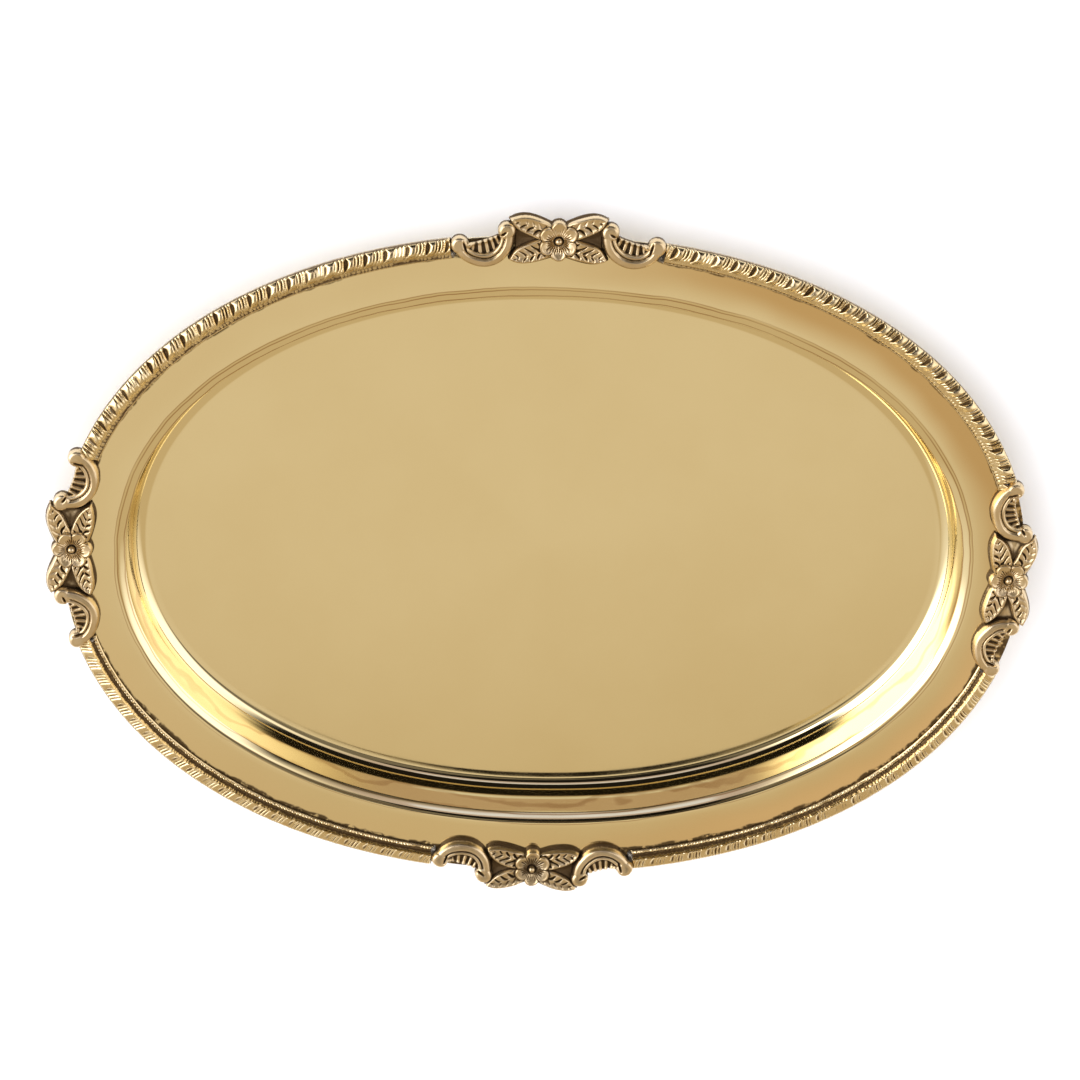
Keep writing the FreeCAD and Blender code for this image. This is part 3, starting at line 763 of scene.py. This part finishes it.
class Nodes:
    """A node tree with short calls for adding nodes."""

    def __init__(self, tree):
        self.tree = tree
        self.tree.nodes.clear()

    def add(self, kind, inputs=None, **settings):
        node = self.tree.nodes.new(kind)
        for key, value in settings.items():
            setattr(node, key, value)
        for key, value in (inputs or {}).items():
            socket = node.inputs[key]
            if isinstance(value, bpy.types.NodeSocket):
                self.tree.links.new(value, socket)
            else:
                socket.default_value = value
        return node

    def math(self, operation, first, second=0.0):
        return self.add("ShaderNodeMath", {0: first, 1: second}, operation=operation).outputs[0]

    def ramp(self, value, low, high, to_low=0.0, to_high=1.0):
        inputs = {"Value": value, "From Min": low, "From Max": high, "To Min": to_low, "To Max": to_high}
        return self.add("ShaderNodeMapRange", inputs, interpolation_type="SMOOTHSTEP").outputs["Result"]

    def mix(self, factor, first, second):
        node = self.add("ShaderNodeMix", data_type="RGBA")
        for socket, value in ((node.inputs[0], factor), (node.inputs[6], first), (node.inputs[7], second)):
            if isinstance(value, bpy.types.NodeSocket):
                self.tree.links.new(value, socket)
            else:
                socket.default_value = value
        return node.outputs[2]


class Shader(Nodes):
    """A material and its nodes."""

    def __init__(self, name):
        self.material = bpy.data.materials.new(name)
        self.material.use_nodes = True
        super().__init__(self.material.node_tree)
        self.place = self.add("ShaderNodeTexCoord").outputs["Object"]

    def attribute(self, name):
        return self.add("ShaderNodeAttribute", attribute_name=name).outputs["Fac"]

    def noise(self, size_mm, detail=3.0, roughness=0.5, stretch=None):
        """Noise of about 0 to 1 whose features are about this many millimetres across."""
        place = self.place
        if stretch:
            place = self.add("ShaderNodeMapping", {"Vector": place, "Scale": stretch}).outputs["Vector"]
        inputs = {"Vector": place, "Scale": 1.0 / (size_mm * MM), "Detail": detail, "Roughness": roughness}
        return self.add("ShaderNodeTexNoise", inputs).outputs["Fac"]

    def finish(self, colour, metallic, roughness, bump=None, bump_mm=0.0):
        inputs = {"Base Color": colour, "Metallic": metallic, "Roughness": roughness}
        if bump is not None:
            relief = self.add("ShaderNodeBump", {"Height": bump, "Distance": bump_mm * MM, "Strength": 1.0})
            inputs["Normal"] = relief.outputs["Normal"]
        surface = self.add("ShaderNodeBsdfPrincipled", inputs)
        self.add("ShaderNodeOutputMaterial", {"Surface": surface.outputs[0]})
        return self.material


def rgb(red, green, blue):
    return (red, green, blue, 1.0)


# inset, half width and strength of the thin brown lines along the creases
CREASE_LINES = ((19.5, 0.30, 0.55), (20.5, 0.35, 0.7), (22.9, 0.30, 0.75), (24.1, 0.22, 0.5))


SHEET_PALE = rgb(0.90, 0.78, 0.475)
SHEET_DEEP = rgb(0.88, 0.755, 0.45)
HEAT_TINT = rgb(0.70, 0.49, 0.22)
ROSY_TINT = rgb(1.0, 0.76, 0.43)
CREASE_BROWN = rgb(0.42, 0.23, 0.075)
FOOT_BAND_BROWN = rgb(0.10, 0.065, 0.03)


def sheet_brass():
    """Polished sheet: nearly a mirror, with smudges, buffing lines, brown lines in its creases, a brown and a
    rosy tint on the flange, and a spotted dark brown band along the border's foot."""
    shader = Shader("polished_sheet_brass")
    inset = shader.attribute("inset")
    cloud = shader.noise(45.0, 4.0)
    patch = shader.noise(55.0, 2.0)
    axes = shader.add("ShaderNodeSeparateXYZ", {"Vector": shader.place})
    wander = shader.math("ADD", inset, shader.ramp(patch, 0.2, 0.8, -4.0, 4.0))
    near_border = shader.ramp(wander, 10.0, 21.0, 1.0, 0.0)
    near_border = shader.math("MULTIPLY", near_border, shader.ramp(inset, 17.0, 20.5, 1.0, 0.0))
    tint = shader.math("MULTIPLY", near_border, shader.ramp(axes.outputs["X"], -0.02, 0.08, 0.12, 1.0))
    tint = shader.math("MULTIPLY", tint, shader.ramp(axes.outputs["Y"], -0.06, 0.04, 0.5, 1.0))
    colour = shader.mix(shader.ramp(cloud, 0.3, 0.7), SHEET_PALE, SHEET_DEEP)
    colour = shader.mix(tint, colour, HEAT_TINT)
    rosy = shader.math("MULTIPLY", near_border, shader.ramp(axes.outputs["Y"], 0.01, -0.05))
    rosy = shader.math("MULTIPLY", rosy, shader.ramp(axes.outputs["X"], 0.0, 0.12, 0.15, 0.9))
    colour = shader.mix(rosy, colour, ROSY_TINT)
    drift = shader.math("ADD", inset, shader.ramp(shader.noise(28.0, 3.0), 0.3, 0.7, -0.4, 0.4))
    clouded = shader.ramp(cloud, 0.3, 0.6, 0.5, 1.0)
    for at, reach, strength in CREASE_LINES:
        away = shader.math("ABSOLUTE", shader.math("SUBTRACT", drift, at))
        line = shader.math("MULTIPLY", shader.ramp(away, reach * 0.3, reach, strength, 0.0), clouded)
        colour = shader.mix(line, colour, CREASE_BROWN)
    # a spotted dark brown band along the border's inner foot, wider at the front and narrower at the back,
    # which also roughens the sheet there
    front = shader.ramp(axes.outputs["Y"], -0.06, 0.02, -0.6, 0.6)
    uneven = shader.ramp(shader.noise(9.0, 3.0), 0.3, 0.7, 0.7, -0.7)
    foot = shader.math("ADD", shader.math("ADD", inset, front), uneven)
    spots = shader.ramp(shader.noise(2.0, 4.0), 0.3, 0.5)
    foot_band = shader.math("MULTIPLY", shader.ramp(foot, 7.4, 8.2, 0.95, 0.0), spots)
    colour = shader.mix(foot_band, colour, FOOT_BAND_BROWN)
    smudge = shader.ramp(shader.noise(30.0, 5.0, 0.6), 0.35, 0.75, 0.05, 0.11)
    roughness = shader.math("ADD", smudge, shader.math("MULTIPLY", foot_band, 0.3))
    lines = shader.noise(1.2, 2.0, 0.5, (0.06, 1.0, 1.0))
    return shader.finish(colour, 1.0, roughness, lines, 0.0006)


def cast_brass(name, bright, warm, dark, shine, gain):
    """Cast brass, buffed on its high spots, with patina in its hollows."""
    shader = Shader(name)
    patina = shader.attribute("patina")
    grain = shader.noise(0.8, 4.0, 0.6)
    blotch = shader.noise(6.0, 3.0)
    patina = shader.math("ADD", patina, shader.math("MULTIPLY", shader.math("SUBTRACT", grain, 0.5), 0.2))
    patina = shader.math("ADD", patina, shader.math("MULTIPLY", shader.math("SUBTRACT", blotch, 0.5), 0.25))
    covered = shader.ramp(patina, 0.2, 0.75, 0.0, gain)
    colour = shader.mix(shader.ramp(blotch, 0.35, 0.65), bright, warm)
    colour = shader.mix(covered, colour, dark)
    metallic = shader.ramp(covered, 0.0, 1.0, 1.0, 0.85)
    dull = shader.math("MULTIPLY", covered, 0.25)
    roughness = shader.math("ADD", shader.ramp(grain, 0.3, 0.7, shine, shine + 0.08), dull)
    return shader.finish(colour, metallic, roughness, grain, 0.005)


def solder_grey():
    shader = Shader("dull_solder")
    grain = shader.math("SUBTRACT", shader.noise(0.8, 4.0), 0.5)
    patina = shader.math("ADD", shader.attribute("patina"), grain)
    colour = shader.mix(shader.ramp(patina, 0.2, 0.8), rgb(0.33, 0.30, 0.25), rgb(0.06, 0.05, 0.04))
    return shader.finish(colour, 0.7, 0.5, shader.noise(0.5, 3.0), 0.06)


def floor_paper():
    shader = Shader("floor_paper")
    colour = shader.mix(shader.noise(60.0, 2.0), rgb(0.93, 0.93, 0.93), rgb(0.95, 0.95, 0.95))
    return shader.finish(colour, 0.0, 0.7)


def dress(thing, material, slot, *nodes):
    thing.data.materials.clear()
    thing.data.materials.append(material)
    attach(thing, "root")
    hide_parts(*nodes)


# bright, warm and dark colour, roughness where it is buffed, and how far the patina covers the hollows
BORDER_LOOK = (rgb(0.81, 0.665, 0.40), rgb(0.76, 0.60, 0.33), rgb(0.10, 0.052, 0.014), 0.2, 0.93)
ORNAMENT_LOOK = (rgb(0.73, 0.585, 0.37), rgb(0.67, 0.52, 0.30), rgb(0.066, 0.034, 0.009), 0.29, 0.94)

dress(make_tray_sheet(), sheet_brass(), "sheet_brass", "tray_body")
border_brass = cast_brass("cast_border_brass", *BORDER_LOOK)
for number, (name, *place) in enumerate(BORDERS):
    dress(make_border(name, *place, 20 + number * 5), border_brass, "border_brass", "border_" + name)
ornament_brass = cast_brass("cast_ornament_brass", *ORNAMENT_LOOK)
for number, place in enumerate(ORNAMENT_SEATS):
    dress(make_ornament(place, 40 + number * 5), ornament_brass, "ornament_brass", "ornament_" + place)
dress(make_solder(), solder_grey(), "solder", "solder_joints")

# Floor, light and camera --------------------------------------------------------------------------

FLOOR_SIZE = 6.0
FLOOR_LIGHT = 40.0
FLOOR_LIGHT_SIZE = 3.0
FLOOR_LIGHT_HEIGHT = 2.2
FLOOR_LIGHT_COLOUR = (0.9, 0.97, 1.1)


def make_floor():
    bm = bmesh.new()
    bmesh.ops.create_grid(bm, x_segments=4, y_segments=4, size=FLOOR_SIZE / 2.0)
    mesh = bpy.data.meshes.new("floor")
    bm.to_mesh(mesh)
    bm.free()
    floor = bpy.data.objects.new("floor", mesh)
    bpy.context.scene.collection.objects.link(floor)
    mesh.materials.append(floor_paper())


# Soft boxes and cards around the tray, seen only in reflections and as light. Each is the azimuth of its
# middle, half its width and how softly it ends; its lower and upper elevation and how softly it ends, all
# in degrees; and its brightness. Later ones lie over earlier ones.
STUDIO = (
    ("side_of_room", 285, 52, 10, -20, 67, 8, (0.61, 0.49, 0.33)),
    ("overhead", 0, 360, 5, 80, 91, 5, (0.22, 0.20, 0.17)),
    ("overhead_shade", 60, 82, 10, 64, 91, 8, (0.19, 0.165, 0.135)),
    ("left_glow", 178, 34, 34, 0, 62, 20, (0.98, 0.92, 0.86)),
    ("left_box", 158, 34, 26, 2, 62, 8, (3.5, 3.5, 3.7)),
    ("right_box", 18, 29, 36, 2, 63, 14, (1.65, 1.6, 1.65)),
    ("dark_card", 91, 45, 12, -10, 46, 7, (0.012, 0.010, 0.008)),
    ("far_wall", 90, 30, 18, 46, 62, 2, (0.56, 0.47, 0.50)),
    ("strip_light", 90, 18, 2, 47.2, 51.5, 1.6, (0.80, 0.84, 1.1)),
    ("camera_shade", 88, 28, 10, 62, 91, 3, (0.012, 0.010, 0.008)),
    ("far_shade", 270, 40, 10, 80, 91, 4, (0.03, 0.025, 0.02)),
)
ROOM = rgb(0.735, 0.635, 0.50)
BACKDROP = rgb(0.9, 0.9, 0.9)


def studio_patch(shader, direction, behind, azimuth, half_width, blend, low, high, soft, colour):
    """The colour behind with one box or card laid over it."""
    inputs = {"Vector": direction, "Angle": math.radians(-azimuth)}
    turned = shader.add("ShaderNodeVectorRotate", inputs, rotation_type="Z_AXIS")
    axes = shader.add("ShaderNodeSeparateXYZ", {"Vector": turned.outputs["Vector"]})
    away = shader.math("ABSOLUTE", shader.math("ARCTAN2", axes.outputs["Y"], axes.outputs["X"]))
    elevation = shader.math("ARCSINE", axes.outputs["Z"])
    angles = (half_width, blend, low, high, soft)
    half_width, blend, low, high, soft = [math.radians(angle) for angle in angles]
    mask = shader.ramp(away, half_width - blend / 2.0, half_width + blend / 2.0, 1.0, 0.0)
    mask = shader.math("MULTIPLY", mask, shader.ramp(elevation, low - soft / 2.0, low + soft / 2.0))
    below_top = shader.ramp(elevation, high - soft / 2.0, high + soft / 2.0, 1.0, 0.0)
    mask = shader.math("MULTIPLY", mask, below_top)
    return shader.mix(mask, behind, rgb(*colour))


def make_world():
    world = bpy.data.worlds.new("studio")
    bpy.context.scene.world = world
    world.use_nodes = True
    shader = Nodes(world.node_tree)
    direction = shader.add("ShaderNodeTexCoord").outputs["Generated"]
    colour = ROOM
    for _, *patch in STUDIO:
        colour = studio_patch(shader, direction, colour, *patch)
    to_camera = shader.add("ShaderNodeLightPath").outputs["Is Camera Ray"]
    colour = shader.mix(to_camera, colour, BACKDROP)
    background = shader.add("ShaderNodeBackground", {"Color": colour, "Strength": 1.0})
    shader.add("ShaderNodeOutputWorld", {"Surface": background.outputs[0]})


def make_floor_light():
    """A broad light overhead for the floor, not mirrored in the brass."""
    data = bpy.data.lights.new("floor_light", "AREA")
    data.shape = "DISK"
    data.size = FLOOR_LIGHT_SIZE
    data.energy = FLOOR_LIGHT
    data.color = FLOOR_LIGHT_COLOUR
    light = bpy.data.objects.new("floor_light", data)
    light.location = (0.0, 0.0, FLOOR_LIGHT_HEIGHT)
    light.visible_glossy = False
    bpy.context.scene.collection.objects.link(light)


# The tilt is a choice and not a measurement. The other values were fitted with it held.
CAMERA_TILT = math.radians(20.0)
CAMERA_YAW = math.radians(2.61)
CAMERA_ROLL = math.radians(-2.19)
CAMERA_DISTANCE = 1200.0
CAMERA_AIM = (2.21, -8.55)
FRAME_MM = 390.9


def make_camera():
    roll = Matrix.Rotation(CAMERA_ROLL, 3, "Z")
    tilt = Matrix.Rotation(CAMERA_TILT, 3, "X")
    yaw = Matrix.Rotation(CAMERA_YAW, 3, "Y")
    turn = (roll @ tilt @ yaw).transposed()
    place = turn @ Vector((-CAMERA_AIM[0], -CAMERA_AIM[1], CAMERA_DISTANCE)) + Vector((0.0, 0.0, FLANGE_TOP))
    data = bpy.data.cameras.new("camera")
    data.sensor_width = 36.0
    data.lens = CAMERA_DISTANCE / FRAME_MM * data.sensor_width
    data.clip_start = 0.05
    camera = bpy.data.objects.new("camera", data)
    camera.matrix_world = Matrix.Translation(place * MM) @ turn.to_4x4()
    bpy.context.scene.collection.objects.link(camera)
    bpy.context.scene.camera = camera


make_floor()
make_world()
make_floor_light()
make_camera()
bpy.context.scene.view_settings.view_transform = "Standard"
